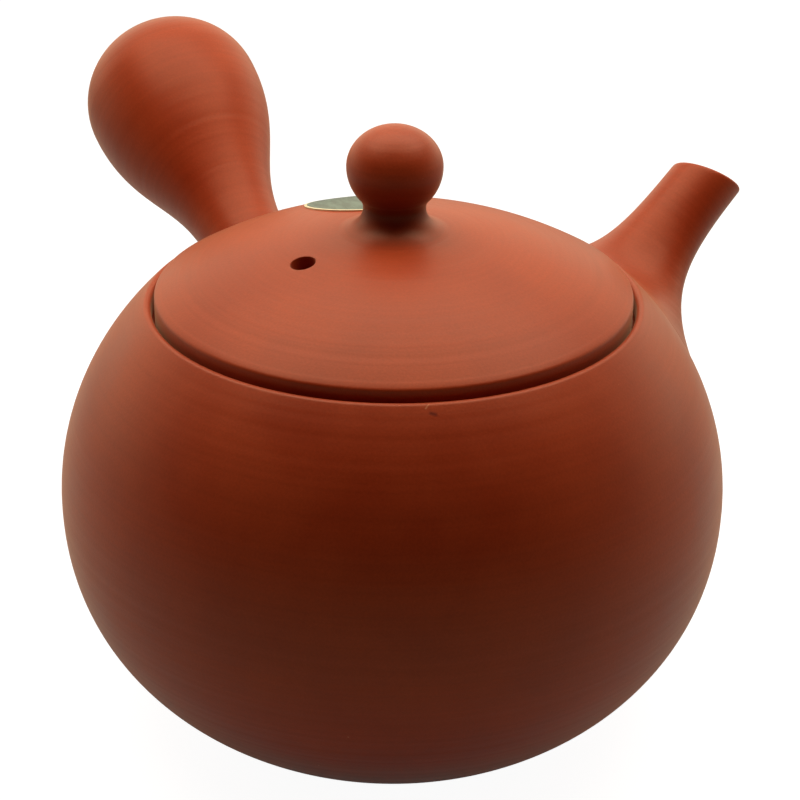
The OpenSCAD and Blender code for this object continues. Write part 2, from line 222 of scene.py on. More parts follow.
class KnobSizes(PropertyGroup):
    knob_d: length("Diameter", "Widest diameter of the knob", 14.4 * MM)
    height: length("Height", "Height of the knob over the lid", KNOB_HIGH.z - KNOB_LOW.z)
    neck_d: length("Neck diameter", "Narrowest diameter of the knob's neck", 9.4 * MM)
    belly_h: length("Belly height", "Height of the knob's widest ring over the lid", 9.9 * MM)
    fillet: length("Fillet", "Height of the fillet at the knob's foot", 3.6 * MM)
    foot_d: length("Foot diameter", "Diameter of the knob's foot on the lid", 18 * MM)
    foot_pull: ratio("Foot pull", "How far the foot keeps to the lid's dome", 0.55)
    fillet_low: ratio("Fillet low", "Share of the fillet's height where it leaves the neck", 0.4)
    sink: length("Sink", "How far the foot is pressed into the lid", 0.2 * MM)
    # The painted shade round the knob's waist ends this far over its widest ring
    stain_h: length("Stain height", "Height over the widest ring where the dark waist ends", 3 * MM)


class LabelSizes(PropertyGroup):
    label_d: length("Diameter", "Diameter of the round paper label", 19 * MM)
    place: length("Place", "Distance from the lid's axis to the label's middle", 18.2 * MM)
    angle: turn("Angle", "Turn from the spout to the label", 67.4)
    thickness: length("Thickness", "Thickness of the paper and its glue", 0.2 * MM)
    edge_w: length("Edge width", "Width of the bright border", 0.42 * MM)


class StrainerSizes(PropertyGroup):
    wire_d: length("Wire", "Diameter of the woven wire", 0.3 * MM)
    crimp: length("Crimp", "How far a wire swings to either side of the belt's middle", 0.13 * MM)
    uprights: IntProperty(name="Uprights", description="Number of upright wires, an even number",
                          default=180, min=8)
    pitch: length("Pitch", "Spacing of the rings of wire", 1.45 * MM)


class Finishes(PropertyGroup):
    clay: colour("Clay", "Red clay where the burnishing left it brightest", "#ab3d1a")
    clay_deep: colour("Deep clay", "Red clay where it took more iron", "#9f3414")
    clay_fleck: colour("Fleck", "Pale grains in the clay", "#c67a54")
    # Painted shade: the dark bottom of a pit that has no hollow of its own
    clay_pit: colour("Pit", "Dark bottom of a pit", "#6a1a0c")
    # Painted shade: the dark tone for the recess of the knob's waist, under its ball
    clay_waist: colour("Waist", "Dark unburnished clay in the knob's waist", "#3a0c06")
    waist_cover: ratio("Waist cover", "How much of the waist its dark tone covers", 0.75)
    sheen: colour("Sheen", "Warm tone of the burnished clay's sheen", "#ffd9b0")
    bloom: colour("Bloom", "Pale dusty bloom of bare clay seen along its skin", "#ffd2a8")
    label: colour("Label", "Coated paper of the label", "#3d5649")
    label_streak: colour("Label streak", "Paler streaks in the label", "#567163")
    label_edge: colour("Label edge", "Bright border of the label", "#e8dcb0")
    steel: colour("Steel", "Stainless steel of the strainer", "#c9cacc")


class StageSettings(PropertyGroup):
    azimuth: turn("Azimuth", "Turn of the camera round the pot", -38)
    elevation: turn("Elevation", "Height angle of the camera", 27.91)
    distance: length("Distance", "Distance of the camera from its aim", 300 * MM)
    aim_z: length("Aim height", "Height of the camera's aim", 40 * MM)
    pan: turn("Pan", "Small turn of the camera to its right", 0.21)
    nod: turn("Nod", "Small turn of the camera upwards", 1.76)
    roll: turn("Roll", "Small roll of the camera", 0.44)
    lens: FloatProperty(name="Lens", description=f"Focal length on a {SENSOR_W} mm sensor",
                        default=85.05, subtype="DISTANCE_CAMERA")
    lamp: colour("Lamp", "Colour of the soft box over the pot", "#fff7ea")
    top_power: power("Top light", "Power of the soft box", 0.88)
    lamp_w: length("Lamp width", "Width of the soft box", 420 * MM)
    lamp_d: length("Lamp depth", "Depth of the soft box", 220 * MM)
    lamp_z: length("Lamp height", "Height of the soft box", 300 * MM)
    lamp_back: length("Lamp back", "Distance of the soft box behind the pot's axis", 50 * MM)
    warm: colour("Warm white", "Colour of the surroundings' light", "#ffebcc")
    ambient: ratio("Ambient", "Strength of the light from the surroundings", 1.45)
    mirrored: ratio("Mirrored white", "Strength of the white surroundings in a sheen", 1.35)
    white_dip: ratio("White dip", "Slope at which the way to the fullest white falls", 0.45)
    white_start: ratio("White start", "Share of that way at which the white begins", -0.3)
    white_full: ratio("White full", "Share of that way at which the white is full", 0.45)
    floor_size: length("Floor size", "Length of the floor's sides", 3)
    floor: colour("Floor", "Colour of the paper floor", "#b4b4b4")
    floor_seen: colour("Seen floor", "Share of the floor's white that takes the shadow", "#898989")
    floor_glow: ratio("Floor glow", "Share of the floor's white that takes no shadow", 0.95)
    floor_mirrored: ratio("Mirrored floor", "Strength of the floor's own white in a sheen", 0.15)


class TeapotSettings(PropertyGroup):
    pot: PointerProperty(name="Pot", type=PotSizes)
    spout: PointerProperty(name="Spout", type=SpoutSizes)
    handle: PointerProperty(name="Handle", type=HandleSizes)
    lid: PointerProperty(name="Lid", type=LidSizes)
    knob: PointerProperty(name="Knob", type=KnobSizes)
    label: PointerProperty(name="Label", type=LabelSizes)
    strainer: PointerProperty(name="Strainer", type=StrainerSizes)
    finish: PointerProperty(name="Finishes", type=Finishes)
    stage: PointerProperty(name="Stage", type=StageSettings)


def spread(first, last, steps):
    """Evenly spaced values from first to last."""
    return [first + (last - first) * i / steps for i in range(steps + 1)]


def arc(centre, radius, first, last, steps):
    """Points of an arc in the plane of a turned profile."""
    return [centre + radius * Vector((cos(t), sin(t))) for t in spread(first, last, steps)]


def bezier(points, steps):
    """Points of a curve from the first of four points to the last, drawn towards the other two."""
    a, b, c, d = points
    return [(1 - u) ** 3 * a + 3 * u * (1 - u) ** 2 * b + 3 * u * u * (1 - u) * c + u ** 3 * d
            for u in spread(0, 1, steps)]


class PotCurve:
    """The pot's outside: a squared ellipse below the widest ring and a plain one above it."""

    def __init__(self, pot):
        self.body_r = pot.body_d / 2
        self.belly_z = pot.belly_z
        self.fullness = pot.belly_fullness
        base_share = (pot.base_d / pot.body_d) ** self.fullness
        self.low_h = pot.belly_z / (1 - base_share) ** (1 / self.fullness)
        self.base_turn = asin((pot.belly_z / self.low_h) ** (self.fullness / 2))
        self.lip_c = Vector((pot.mouth_d / 2 + pot.lip_r, pot.rim_z - pot.lip_r))
        lip_start = self.lip_c + pot.lip_r * Vector((cos(LIP_TURN), sin(LIP_TURN)))
        rise = lip_start.y - pot.belly_z
        self.high_h = rise / sqrt(1 - (lip_start.x / self.body_r) ** 2)
        self.rim_turn = asin(rise / self.high_h)

    def upper(self, t, depth=0):
        """A profile point over the widest ring, moved in by depth."""
        point = Vector((self.body_r * cos(t), self.belly_z + self.high_h * sin(t)))
        return point - depth * Vector((cos(t) / self.body_r, sin(t) / self.high_h)).normalized()

    def turn_at(self, radius, depth):
        """The turn at which the upper half, moved in by depth, has a radius."""
        low, high = 0, pi / 2
        halvings = 40
        for _ in range(halvings):
            middle = (low + high) / 2
            low, high = (middle, high) if self.upper(middle, depth).x > radius else (low, middle)
        return low

    def lower(self, t, depth=0):
        """A profile point under the widest ring, moved in by depth."""
        e = 2 / self.fullness
        point = Vector((self.body_r * cos(t) ** e, self.belly_z - self.low_h * sin(t) ** e))
        out = Vector((cos(t) ** (2 - e) / self.body_r, -sin(t) ** (2 - e) / self.low_h))
        return point - depth * out.normalized()

    def place(self, height, angle, tilt):
        """Where a piece whose own axis is Z stands on the pot's upper half."""
        radius = self.upper(asin((height - self.belly_z) / self.high_h)).x
        return (Matrix.Rotation(angle, 4, "Z") @ Matrix.Translation((radius, 0, height))
                @ Matrix.Rotation(pi / 2 - tilt, 4, "Y"))

    def meet(self, start, along):
        """Where a line from start leaves the upper half."""
        k = Vector((1 / self.body_r, 1 / self.body_r, 1 / self.high_h))
        c = (start - Vector((0, 0, self.belly_z))) * k
        v = along * k
        b = c.dot(v)
        return start + along * ((sqrt(b * b - v.dot(v) * (c.dot(c) - 1)) - b) / v.dot(v))

    def normal(self, point):
        """The way out of the upper half at a point of it."""
        return Vector((point.x / self.body_r ** 2, point.y / self.body_r ** 2,
                       (point.z - self.belly_z) / self.high_h ** 2)).normalized()


def dome_height(lid, radius):
    """Height of the lid's top at a distance from its axis."""
    foot = lid.crown_z - lid.rise * (1 - (lid.land_d / lid.lid_d) ** lid.fullness)
    share = max(radius, lid.land_d / 2) / (lid.lid_d / 2)
    return foot + lid.rise * (1 - share ** lid.fullness)


def extrude_along(path):
    """Draws what is selected out along a path of radii and heights."""
    for (r0, z0), (r1, z1) in zip(path, path[1:]):
        bpy.ops.mesh.extrude_region_move(TRANSFORM_OT_translate={"value": (r1 - r0, 0, z1 - z0)})


def turned(name, profile, steps):
    """A closed shell spun from a profile of radii and heights that starts and ends on the axis."""
    bpy.ops.object.select_all(action="DESELECT")
    bpy.ops.mesh.primitive_plane_add(size=MM)
    piece = bpy.context.object
    piece.name = piece.data.name = name
    bpy.ops.object.mode_set(mode="EDIT")
    bpy.ops.mesh.select_mode(type="VERT")
    bpy.ops.mesh.select_all(action="SELECT")
    bpy.ops.mesh.merge(type="CENTER")
    bpy.ops.transform.translate(value=(profile[0][0], 0, profile[0][1]))
    extrude_along(profile)
    bpy.ops.mesh.select_all(action="SELECT")
    bpy.ops.mesh.spin(steps=steps, angle=tau, center=(0, 0, 0), axis=(0, 0, 1))
    bpy.ops.mesh.select_all(action="SELECT")
    bpy.ops.mesh.remove_doubles(threshold=SHELL_WELD)
    bpy.ops.mesh.normals_make_consistent(inside=False)
    bpy.ops.object.mode_set(mode="OBJECT")
    return piece


def pick(piece):
    """Makes a piece the active one and the only one that is selected."""
    bpy.ops.object.select_all(action="DESELECT")
    piece.select_set(True)
    bpy.context.view_layer.objects.active = piece


def apply_modifier(piece, kind, **settings):
    """Adds a modifier to a piece and applies it."""
    pick(piece)
    modifier = piece.modifiers.new(kind.title(), kind)
    for key, value in settings.items():
        setattr(modifier, key, value)
    bpy.ops.object.modifier_apply(modifier=modifier.name)


def soften(piece, width):
    """Rounds the sharp edges of a turned piece."""
    apply_modifier(piece, "BEVEL", width=width, segments=3, limit_method="ANGLE",
                   angle_limit=SMOOTH_TURN, harden_normals=False)


def drill(piece, place, diameter, depth):
    """Cuts a round hole along the own Z axis of a place."""
    bpy.ops.object.select_all(action="DESELECT")
    bpy.ops.mesh.primitive_cylinder_add(vertices=HOLE_STEPS, radius=diameter / 2, depth=depth,
                                        location=place.to_translation(), rotation=place.to_euler())
    cutter = bpy.context.object
    apply_modifier(piece, "BOOLEAN", object=cutter, operation="DIFFERENCE", solver="EXACT")
    bpy.data.objects.remove(cutter)


def edit_edges(piece, wanted):
    """Goes into edit mode with only the edges selected whose two ends are both wanted."""
    pick(piece)
    bpy.ops.object.mode_set(mode="EDIT")
    bpy.ops.mesh.select_mode(type="EDGE")
    bpy.ops.mesh.select_all(action="DESELECT")
    bpy.ops.object.mode_set(mode="OBJECT")
    mesh = piece.data
    for edge in mesh.edges:
        edge.select = all(wanted(mesh.vertices[i].co) for i in edge.vertices)
    if not any(edge.select for edge in mesh.edges):
        raise RuntimeError(f"no edge of {piece.name} is where it is looked for")
    bpy.ops.object.mode_set(mode="EDIT")


def dress(piece, body, slot, *materials):
    """Smooths a finished piece, gives it its materials and ties it to its body."""
    pick(piece)
    bpy.ops.object.shade_smooth_by_angle(angle=SMOOTH_TURN)
    for material in materials:
        piece.data.materials.append(material)
    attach(piece, body)


def add(tree, kind, inputs=None, **settings):
    """Adds a shader node with its settings; each input is linked to a socket or set to a value."""
    node = tree.nodes.new("ShaderNode" + kind)
    for key, value in settings.items():
        setattr(node, key, value)
    for key, value in (inputs or {}).items():
        if isinstance(value, bpy.types.NodeSocket):
            tree.links.new(value, node.inputs[key])
        else:
            node.inputs[key].default_value = value
    return node


def new_material(name):
    """An empty node material and its tree."""
    material = bpy.data.materials.new(name)
    material.use_nodes = True
    material.node_tree.nodes.clear()
    return material, material.node_tree


def rgba(value):
    """A colour property as a socket value."""
    return (*value, 1)


# Red stoneware clay, thrown, burnished with a pebble and fired without glaze: a dull satin sheen
# with a pale dusty bloom along its skin, hair lines and soft bands round the axis from the turning,
# fine grain, clouds of deeper red and a few pale grains of sand. A piece may have marks, which are
# short strokes of another tone, such as painted shade in a pit. It may also have painted shade that
# darkens a narrow waist, the recess under a ball where shade falls.
def burnished_clay(name, finish, place=Matrix(), marks=(), waist=None):
    material, tree = new_material(name)
    here = add(tree, "TexCoord").outputs["Object"]
    own = add(tree, "Mapping", {"Vector": here, "Location": place.to_translation(),
                                "Rotation": place.to_euler()}, vector_type="TEXTURE").outputs[0]
    split = add(tree, "SeparateXYZ", {0: own})
    height = split.outputs[2]
    level = add(tree, "CombineXYZ", {0: split.outputs[0], 1: split.outputs[1]}).outputs[0]
    radius = add(tree, "VectorMath", {0: level}, operation="LENGTH").outputs["Value"]
    rings = add(tree, "CombineXYZ", {0: radius, 2: height}).outputs[0]
    lines = add(tree, "TexNoise", {"Vector": rings, "Scale": 1 / HAIR_LINE, "Detail": 3}).outputs[0]
    bands = add(tree, "TexNoise", {"Vector": rings, "Scale": 1 / THROWN_BAND,
                                   "Detail": 1}).outputs[0]
    grain = add(tree, "TexNoise", {"Vector": own, "Scale": 1 / CLAY_GRAIN, "Detail": 2}).outputs[0]
    cloud = add(tree, "TexNoise", {"Vector": own, "Scale": 1 / CLAY_CLOUD, "Detail": 3}).outputs[0]
    sand = add(tree, "TexVoronoi", {"Vector": own, "Scale": 1 / SAND_GAP})
    near = add(tree, "MapRange", {"Value": sand.outputs["Distance"],
                                  "From Min": SAND_CORE / SAND_GAP, "From Max": SAND_RIM / SAND_GAP,
                                  "To Min": 1, "To Max": 0}).outputs[0]
    # Only one cell in ten shows its grain of sand
    chance = add(tree, "SeparateColor", {0: sand.outputs["Color"]}).outputs[0]
    shown = add(tree, "Math", {0: chance, 1: 0.9}, operation="GREATER_THAN").outputs[0]
    fleck = add(tree, "Math", {0: near, 1: shown}, operation="MULTIPLY").outputs[0]
    share = add(tree, "MapRange", {"Value": cloud, "From Min": 0.35, "From Max": 0.65}).outputs[0]
    ground = add(tree, "Mix", {0: share, FIRST: rgba(finish.clay_deep), SECOND: rgba(finish.clay)},
                 data_type="RGBA").outputs[MIXED]
    streak = add(tree, "MapRange", {"Value": lines, "From Min": 0.3, "From Max": 0.7,
                                    "To Min": 0.94, "To Max": 1.04}).outputs[0]
    speck = add(tree, "MapRange", {"Value": grain, "From Min": 0.3, "From Max": 0.7,
                                   "To Min": 0.92, "To Max": 1.06}).outputs[0]
    shade = add(tree, "Math", {0: streak, 1: speck}, operation="MULTIPLY").outputs[0]
    toned = add(tree, "VectorMath", {0: ground, "Scale": shade}, operation="SCALE").outputs[0]
    skin = add(tree, "Mix", {0: fleck, FIRST: toned, SECOND: rgba(finish.clay_fleck)},
               data_type="RGBA").outputs[MIXED]
    for start, end, width, tone in marks:
        # The sides of a stroke are soft
        way = end - start
        off = add(tree, "VectorMath", {0: here, 1: start}, operation="SUBTRACT").outputs[0]
        along = add(tree, "VectorMath", {0: off, 1: way / way.length_squared},
                    operation="DOT_PRODUCT").outputs["Value"]
        held = add(tree, "Clamp", {0: along}).outputs[0]
        nearest = add(tree, "VectorMath", {0: way, "Scale": held}, operation="SCALE").outputs[0]
        away = add(tree, "VectorMath", {0: off, 1: nearest}, operation="DISTANCE").outputs["Value"]
        stroke = add(tree, "MapRange", {"Value": away, "From Max": width, "To Min": 1,
                                        "To Max": 0}).outputs[0]
        skin = add(tree, "Mix", {0: stroke, FIRST: skin, SECOND: rgba(tone)},
                   data_type="RGBA").outputs[MIXED]
    # The waist's heights give where the painted shade starts, is darkest and ends
    if waist:
        # Painted shade: the clay is darkened round a narrow waist, the recess under a ball where
        # shade falls
        foot, middle, top = waist
        below = add(tree, "MapRange", {"Value": height, "From Min": foot,
                                       "From Max": middle}).outputs[0]
        above = add(tree, "MapRange", {"Value": height, "From Min": middle, "From Max": top,
                                       "To Min": finish.waist_cover, "To Max": 0},
                    interpolation_type="SMOOTHSTEP").outputs[0]
        stain = add(tree, "Math", {0: below, 1: above}, operation="MULTIPLY").outputs[0]
        skin = add(tree, "Mix", {0: stain, FIRST: skin, SECOND: rgba(finish.clay_waist)},
                   data_type="RGBA").outputs[MIXED]
    rough = add(tree, "MapRange", {"Value": cloud, "From Min": 0.3, "From Max": 0.7,
                                   "To Min": 0.38, "To Max": 0.45}).outputs[0]
    # The throwing bands stand seven times as high as the lines and the grain
    fine = add(tree, "Math", {0: lines, 1: grain}, operation="ADD").outputs[0]
    relief = add(tree, "Math", {0: bands, 1: 7, 2: fine}, operation="MULTIPLY_ADD").outputs[0]
    bump = add(tree, "Bump", {"Strength": 0.6, "Distance": CLAY_RELIEF, "Height": relief})
    surface = add(tree, "BsdfPrincipled", {
        "Base Color": skin, "Roughness": rough, "IOR": 1.5, "Specular IOR Level": 0.42,
        "Specular Tint": rgba(finish.sheen), "Sheen Weight": 0.4, "Sheen Roughness": 0.35,
        "Sheen Tint": rgba(finish.bloom), "Normal": bump.outputs[0]})
    add(tree, "OutputMaterial", {0: surface.outputs[0]})
    return material


# Coated paper with a soft green print: flat and a little glossy, with faint streaks along the paper
def label_paper(name, ground, streak, sheet):
    material, tree = new_material(name)
    here = add(tree, "TexCoord").outputs["Object"]
    own = add(tree, "Mapping", {"Vector": here, "Location": sheet.to_translation(),
                                "Rotation": sheet.to_euler(),
                                "Scale": (STREAK_L, STREAK_W, STREAK_L)}, vector_type="TEXTURE")
    bands = add(tree, "TexNoise", {"Vector": own.outputs[0], "Scale": 1, "Detail": 2}).outputs[0]
    fibre = add(tree, "TexNoise", {"Vector": here, "Scale": 1 / PAPER_FIBRE}).outputs[0]
    share = add(tree, "MapRange", {"Value": bands, "From Min": 0.42, "From Max": 0.62}).outputs[0]
    tone = add(tree, "Mix", {0: share, FIRST: rgba(ground), SECOND: rgba(streak)},
               data_type="RGBA").outputs[MIXED]
    rough = add(tree, "MapRange", {"Value": fibre, "To Min": 0.28, "To Max": 0.42}).outputs[0]
    bump = add(tree, "Bump", {"Strength": 0.4, "Distance": PAPER_RELIEF, "Height": fibre})
    surface = add(tree, "BsdfPrincipled", {"Base Color": tone, "Roughness": rough,
                                           "Specular IOR Level": 0.4, "Normal": bump.outputs[0]})
    add(tree, "OutputMaterial", {0: surface.outputs[0]})
    return material


# Drawn and pickled stainless steel: a grey metal with a soft shine and faint drawing marks
def stainless_steel(name, finish):
    material, tree = new_material(name)
    here = add(tree, "TexCoord").outputs["Object"]
    marks = add(tree, "TexNoise", {"Vector": here, "Scale": 1 / DRAWN_MARK, "Detail": 2}).outputs[0]
    rough = add(tree, "MapRange", {"Value": marks, "To Min": 0.22, "To Max": 0.42}).outputs[0]
    bump = add(tree, "Bump", {"Strength": 0.3, "Distance": STEEL_RELIEF, "Height": marks})
    surface = add(tree, "BsdfPrincipled", {"Base Color": rgba(finish.steel), "Metallic": 1,
                                           "Roughness": rough, "Normal": bump.outputs[0]})
    add(tree, "OutputMaterial", {0: surface.outputs[0]})
    return material


class TEAPOT_OT_pot(Operator):
    """Throws the pot: outside, lip, seat for the lid, ridged inside and the hole into the spout"""
    bl_idname = "teapot.pot"
    bl_label = "Pot"

    def execute(self, context):
        settings = context.scene.teapot
        pot = settings.pot
        curve = PotCurve(pot)
        mouth_r = pot.mouth_d / 2
        seat_z = pot.rim_z - pot.seat_depth
        ledge_z = seat_z - pot.seat_t
        seat_r = mouth_r - pot.seat_w
        lip_turn = curve.turn_at(mouth_r + pot.lip_edge, pot.lip_edge)
        lip_c = curve.upper(lip_turn, pot.lip_edge)
        outside = [curve.lower(t) for t in spread(curve.base_turn, 0, steps=40)]
        outside += [curve.upper(t) for t in spread(0, lip_turn, steps=60)[1:]]
        leave = outside[-1] - lip_c
        lip = arc(lip_c, pot.lip_edge, atan2(leave.y, leave.x), pi, steps=10)[1:]

        def depth(point):
            return pot.wall + pot.throw_depth / 2 * sin(tau * point.y / pot.throw_pitch)

        inside = [curve.upper(t, depth(curve.upper(t)))
                  for t in spread(curve.rim_turn, 0, steps=70)]
        inside += [curve.lower(t, depth(curve.lower(t)))
                   for t in spread(0, curve.base_turn, steps=80)[1:]]
        # The ridged inside ends a little short of the ledge and of the floor
        corner = MM
        inside = [p for p in inside if pot.floor_t + corner < p.y < ledge_z - corner / 2]
        profile = [Vector((0, 0))] + outside + lip
        profile += [Vector((mouth_r, seat_z)), Vector((seat_r, seat_z)), Vector((seat_r, ledge_z)),
                    Vector((inside[0].x, ledge_z))]
        profile += inside
        profile += [Vector((inside[-1].x - corner, pot.floor_t)), Vector((0, pot.floor_t))]
        piece = turned("pot_shell", profile, WIDE_STEPS)
        soften(piece, pot.edge_round)
        spout = settings.spout
        drill(piece, curve.place(spout.root_z, 0, spout.tilt), spout.hole_d, 2 * spout.hole_d)
        finish = settings.finish
        # The pit's stroke is painted shade; the scratch is pale clay
        marks = [(Vector(start) * MM, Vector(end) * MM, width * MM, tone)
                 for (start, end, width), tone in ((RIM_PIT, finish.clay_pit),
                                                   (RIM_SCRATCH, finish.clay_fleck))]
        clay = burnished_clay("burnished_clay_pot", finish, marks=marks)
        dress(piece, "pot", "red_clay", clay)
        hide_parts("pot_body")
        return {"FINISHED"}


class TEAPOT_OT_spout(Operator):
    """Rounds and smooths the pulled spout, from a merged copy of its solid"""
    bl_idname = "teapot.spout"
    bl_label = "Spout"

    def execute(self, context):
        settings = context.scene.teapot
        spout = settings.spout
        curve = PotCurve(settings.pot)
        place = curve.place(spout.root_z, 0, spout.tilt)
        own = place.inverted()
        piece = bpy.data.objects.new("spout_shell", frame["nodes"]["spout"].data.copy())
        context.scene.collection.objects.link(piece)
        piece.data.materials.clear()
        edit_edges(piece, lambda point: True)
        bpy.ops.mesh.remove_doubles(threshold=SHELL_WELD)
        bpy.ops.mesh.tris_convert_to_quads()
        bpy.ops.object.mode_set(mode="OBJECT")

        def at_tip(point):
            # The own frame's X axis points down, where the slant adds to the length
            local = own @ point
            down = local.x * cos(spout.cut_turn) - local.y * sin(spout.cut_turn)
            return abs(local.z - spout.reach - down * tan(spout.cut)) < ON_SURFACE

        edit_edges(piece, at_tip)
        bpy.ops.mesh.bevel(offset=spout.lip_round, segments=4, affect="EDGES")
        bpy.ops.object.mode_set(mode="OBJECT")
        apply_modifier(piece, "SUBSURF", levels=1, render_levels=1)
        clay = burnished_clay("burnished_clay_spout", settings.finish, place)
        dress(piece, "pot", "red_clay", clay)
        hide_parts("spout")
        return {"FINISHED"}


class TEAPOT_OT_handle(Operator):
    """Throws the hollow handle and draws its luted foot out over the pot's shoulder"""
    bl_idname = "teapot.handle"
    bl_label = "Handle"

    def execute(self, context):
        settings = context.scene.teapot
        handle = settings.handle
        curve = PotCurve(settings.pot)
        place = curve.place(handle.root_z, handle.angle, handle.tilt)
        vent_r = handle.vent_d / 2
        way = handle.bulb_s - handle.neck_s

        def bulb_profile(depth):
            neck_r = handle.neck_d / 2 - depth
            bulb_r = handle.bulb_d / 2 - depth
            end = handle.bulb_end - depth
            swell = bezier((Vector((neck_r, handle.neck_s)),
                            Vector((neck_r, handle.neck_s + handle.neck_pull * way)),
                            Vector((bulb_r, handle.bulb_s - handle.bulb_pull * way)),
                            Vector((bulb_r, handle.bulb_s))), steps=40)
            return swell + [Vector((bulb_r * cos(g), handle.bulb_s + end * sin(g)))
                            for g in spread(0, acos(vent_r / bulb_r), steps=32)[1:]]

        outer = bulb_profile(0)
        inner = bulb_profile(handle.wall)
        neck_r = outer[0].x
        foot_steps, curl_steps = 12, 48
        foot = [Vector((neck_r, s)) for s in spread(0, handle.neck_s, foot_steps)[:-1]]
        profile = [Vector((0, -handle.sink)), Vector((neck_r, -handle.sink))] + foot + outer
        profile += inner[::-1] + [Vector((0, inner[0].y))]
        piece = turned("handle_shell", profile, SMALL_STEPS)
        soften(piece, handle.vent_round)
        root = place.to_translation()
        axes = place.to_3x3()
        axis = axes @ Vector((0, 0, 1))
        for vertex in piece.data.vertices:
            x, y, s = vertex.co
            if s > handle.neck_s - ON_SURFACE:
                vertex.co = place @ vertex.co
                continue
            # The foot is drawn out over the shoulder: it leaves the pot flat and ends on the neck
            out = axes @ Vector((x, y, 0)).normalized()
            reach = min(1, sqrt(x * x + y * y) / neck_r) * handle.foot_d / 2
            ground = curve.meet(root + reach * out, axis)
            normal = curve.normal(ground)
            if s < 0:
                vertex.co = ground + s * normal
                continue
            inward = (normal * out.dot(normal) - out).normalized()
            neck = root + neck_r * out + handle.neck_s * axis
            curl = bezier((ground, ground + handle.foot_pull * reach * inward,
                           neck - handle.foot_rise * handle.neck_s * axis, neck), curl_steps)
            vertex.co = curl[round(curl_steps * s / handle.neck_s)]
        clay = burnished_clay("burnished_clay_handle", settings.finish, place)
        dress(piece, "pot", "red_clay", clay)
        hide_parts("handle")
        return {"FINISHED"}


class TEAPOT_OT_lid(Operator):
    """Throws the domed lid with its collar and pierces the steam hole"""
    bl_idname = "teapot.lid"
    bl_label = "Lid"

    def execute(self, context):
        settings = context.scene.teapot
        pot = settings.pot
        lid = settings.lid
        lid_r = lid.lid_d / 2
        seat_z = pot.rim_z - pot.seat_depth
        edge_z = seat_z + lid.edge_h
        slope = atan(lid.rise * lid.fullness / lid_r)
        edge_c = Vector((lid_r - lid.edge_r, edge_z + lid.edge_r * (tan(slope) - 1 / cos(slope))))
        dome_end = edge_c.x + lid.edge_r * sin(slope)
        collar_r = lid.collar_d / 2
        inner_r = collar_r - lid.collar_t
        top = [Vector((r, dome_height(lid, r))) for r in spread(lid.land_d / 2, dome_end, steps=40)]
        under = [Vector((r, dome_height(lid, r) - lid.thickness))
                 for r in spread(inner_r, lid.land_d / 2, steps=30)]
        profile = [Vector((0, lid.crown_z))] + top
        profile += arc(edge_c, lid.edge_r, pi / 2 - slope, 0, steps=10)[1:]
        profile += [Vector((lid_r, seat_z)), Vector((collar_r, seat_z)),
                    Vector((collar_r, lid.foot_z)), Vector((inner_r, lid.foot_z))]
        profile += under + [Vector((0, under[-1].y))]
        piece = turned("lid_shell", profile, WIDE_STEPS)
        soften(piece, pot.edge_round)
        share = lid.steam_s / lid_r
        lean = atan(lid.rise * lid.fullness / lid_r * share ** (lid.fullness - 1))
        # Half a step's turn keeps the cutter's corners off the lid's own edges
        hole = (Matrix.Translation((-lid.steam_s, 0, dome_height(lid, lid.steam_s)))
                @ Matrix.Rotation(-lean, 4, "Y") @ Matrix.Rotation(pi / HOLE_STEPS, 4, "Z"))
        through = 4 * lid.thickness
        drill(piece, hole, lid.steam_d, through)
        own = hole.inverted()
        # A finer test than elsewhere, because the lid has other points close to the hole
        on_wall, rim_h = 0.01 * MM, 0.3 * MM

        def at_rim(point):
            local = own @ point
            off = abs(local.xy.length - lid.steam_d / 2)
            return off < on_wall and abs(local.z) < rim_h

        edit_edges(piece, at_rim)
        bpy.ops.mesh.bevel(offset=lid.steam_round, segments=3, affect="EDGES")
        bpy.ops.object.mode_set(mode="OBJECT")
        clay = burnished_clay("burnished_clay_lid", settings.finish)
        dress(piece, "lid", "red_clay", clay)
        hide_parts("lid")
        return {"FINISHED"}


class TEAPOT_OT_knob(Operator):
    """Throws the ball knob on its waisted neck"""
    bl_idname = "teapot.knob"
    bl_label = "Knob"

    def execute(self, context):
        settings = context.scene.teapot
        lid = settings.lid
        knob = settings.knob
        base = Vector((0, lid.crown_z))
        knob_r = knob.knob_d / 2
        neck_r = knob.neck_d / 2
        rise = knob.belly_h - knob.fillet
        waist_r = (rise ** 2 + neck_r ** 2 - knob_r ** 2) / (2 * (knob_r - neck_r))
        waist_turn = atan2(rise, neck_r + waist_r)
        foot_r = knob.foot_d / 2
        # The foot's thin edge ends just under the lid's skin
        bite = 0.02 * MM
        on_lid = Vector((foot_r, dome_height(lid, foot_r) - lid.crown_z - bite))
        fall = (dome_height(lid, foot_r - MM) - dome_height(lid, foot_r)) / MM
        foot = bezier((on_lid, on_lid + knob.foot_pull * (foot_r - neck_r) * Vector((-1, fall)),
                       Vector((neck_r, knob.fillet_low * knob.fillet)),
                       Vector((neck_r, knob.fillet))), steps=16)
        waist = arc(Vector((neck_r + waist_r, knob.fillet)), waist_r, pi, pi - waist_turn, steps=24)
        under = [Vector((knob_r * cos(t), knob.belly_h + knob_r * sin(t)))
                 for t in spread(-waist_turn, 0, steps=10)]
        over = [Vector((knob_r * cos(t), knob.belly_h + (knob.height - knob.belly_h) * sin(t)))
                for t in spread(0, pi / 2, steps=24)]
        profile = [Vector((0, on_lid.y - knob.sink)), Vector((foot_r, on_lid.y - knob.sink))]
        profile += foot + waist[1:] + under[1:] + over[1:]
        piece = turned("knob_ball", [base + point for point in profile], SMALL_STEPS)
        # Heights at which the painted shade round the knob's waist starts, is darkest and ends
        stain = [lid.crown_z + h for h in (0, knob.fillet, knob.belly_h + knob.stain_h)]
        clay = burnished_clay("burnished_clay_knob", settings.finish, waist=stain)
        dress(piece, "lid", "red_clay", clay)
        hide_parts("lid_knob")
        return {"FINISHED"}


